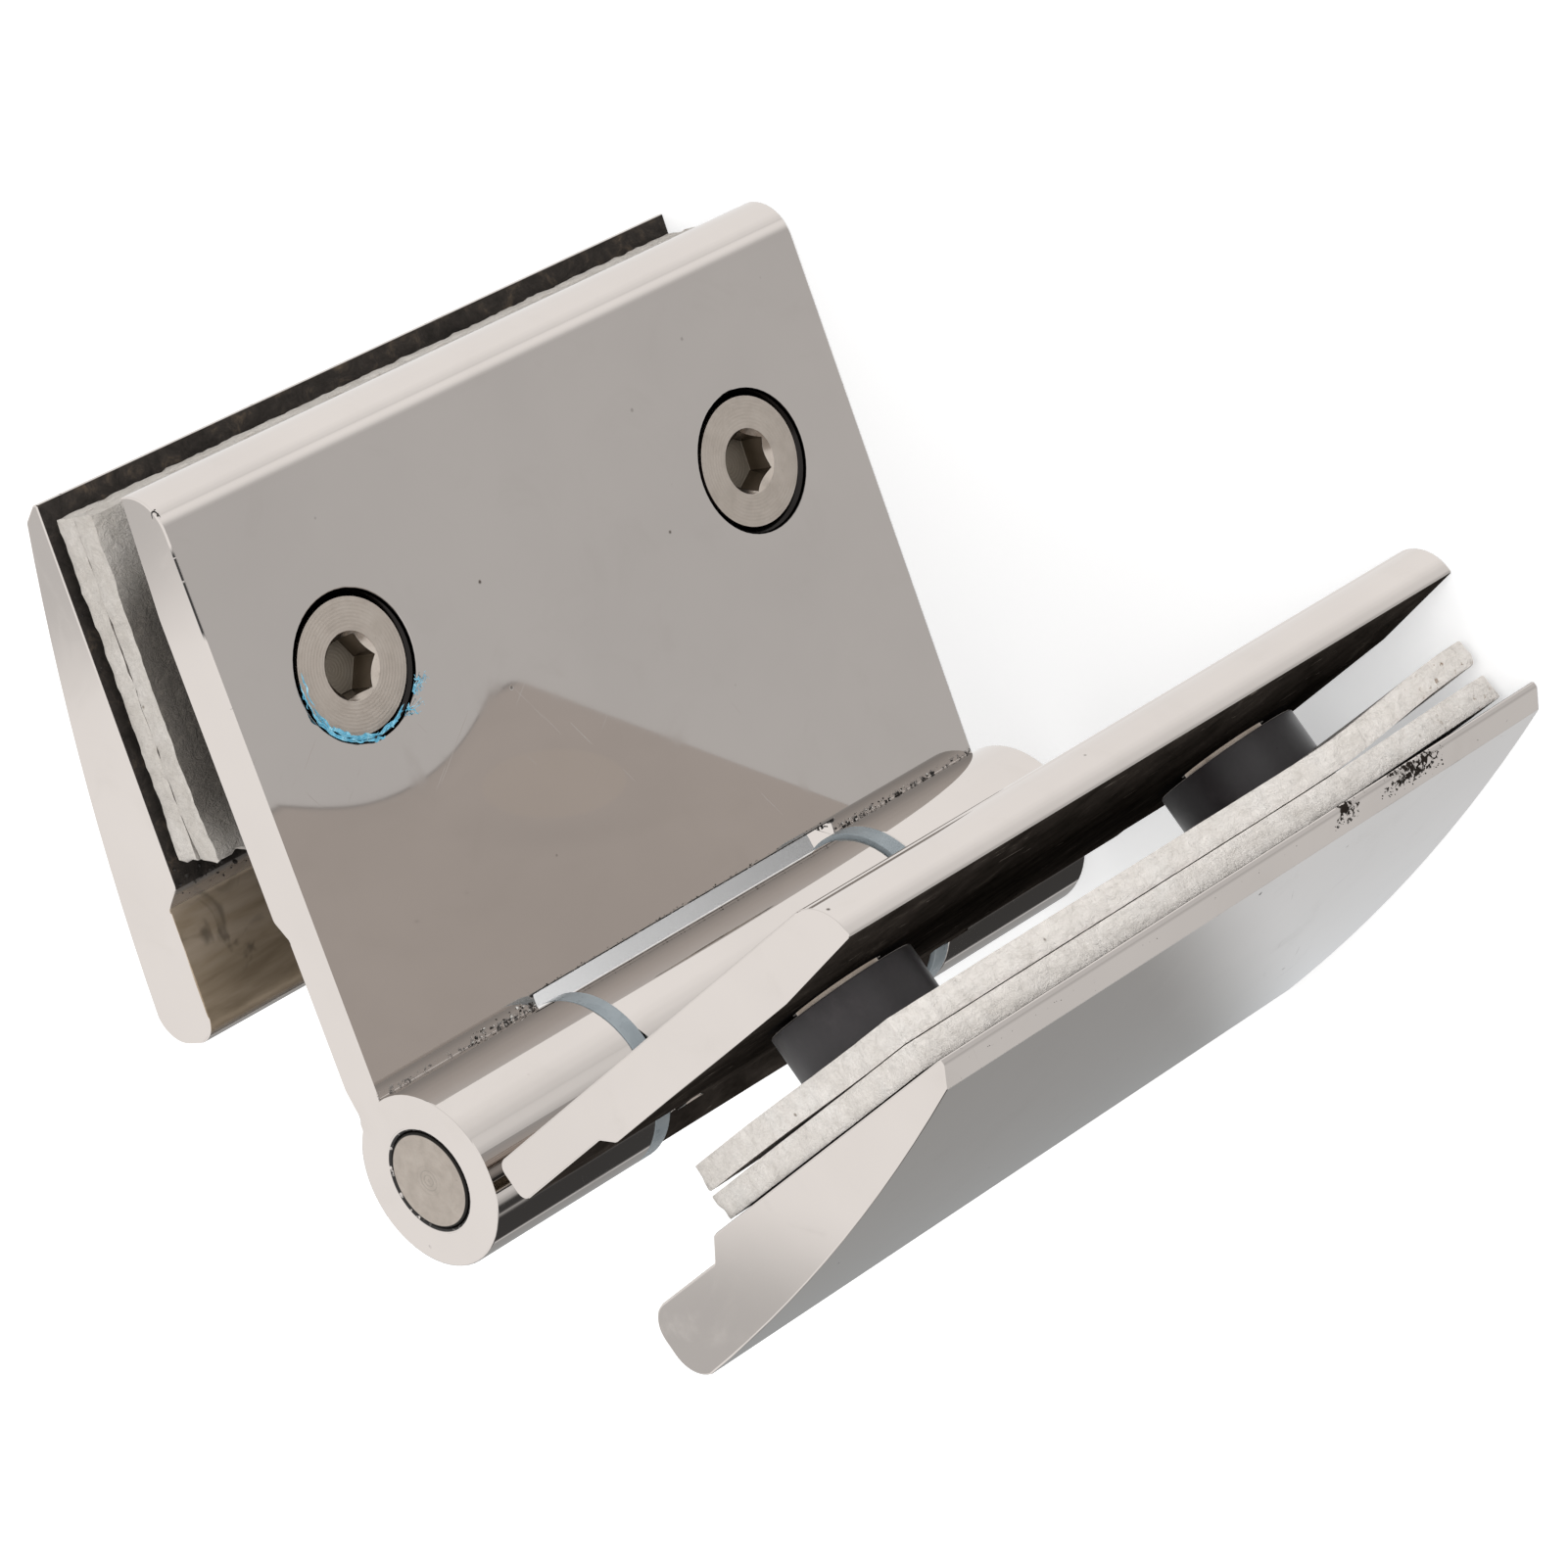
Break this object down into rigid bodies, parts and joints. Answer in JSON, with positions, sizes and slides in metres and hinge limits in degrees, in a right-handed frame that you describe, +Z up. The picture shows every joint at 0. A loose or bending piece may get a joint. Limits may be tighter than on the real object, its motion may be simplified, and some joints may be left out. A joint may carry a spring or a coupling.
{
  "type": "glass door hinge",
  "caption": "Clamp-on hinge for frameless glass doors: two polished leaves on one pin, each with a screwed-on cover that grips the glass between fibre gaskets.",
  "frame": {"origin": "on the hinge axis, in the plane of the lower end, at the centre of the pin's lower end face", "axes": "+Z up along the hinge axis; leaf A runs out along +X with its screw face towards -Y; leaf B is folded 67 degrees from leaf A on the -Y side"},
  "size_m": [0.083, 0.095, 0.08],
  "materials": {
    "polished_steel": "mirror-polished stainless steel",
    "pin_steel": "turned stainless steel",
    "screw_steel": "satin stainless steel",
    "washer_plastic": "translucent blue-grey nylon",
    "bush_plastic": "natural white nylon",
    "gasket_fibre": "compressed off-white fibre sheet",
    "sleeve_plastic": "dark grey plastic tube"
  },
  "bodies": {
    "leaf_a_side": {"leaf_a": "polished_steel", "cover_a": "polished_steel", "hinge_pin": "pin_steel", "washer_upper": "washer_plastic", "washer_lower": "washer_plastic", "gasket_a_inner": "gasket_fibre", "gasket_a_outer": "gasket_fibre", "sleeve_a_upper": "sleeve_plastic", "sleeve_a_lower": "sleeve_plastic", "screw_a_upper": "screw_steel", "screw_a_lower": "screw_steel"},
    "leaf_b_side": {"leaf_b": "polished_steel", "cover_b": "polished_steel", "bush_upper": "bush_plastic", "bush_lower": "bush_plastic", "gasket_b_inner": "gasket_fibre", "gasket_b_outer": "gasket_fibre", "sleeve_b_upper": "sleeve_plastic", "sleeve_b_lower": "sleeve_plastic", "screw_b_upper": "screw_steel", "screw_b_lower": "screw_steel"}
  },
  "joints": [
    {"name": "hinge", "type": "hinge", "parent": "leaf_a_side", "child": "leaf_b_side", "pos_m": [0, 0, 0.04], "axis": [0, 0, 1], "range_deg": [-113, 67]}
  ]
}
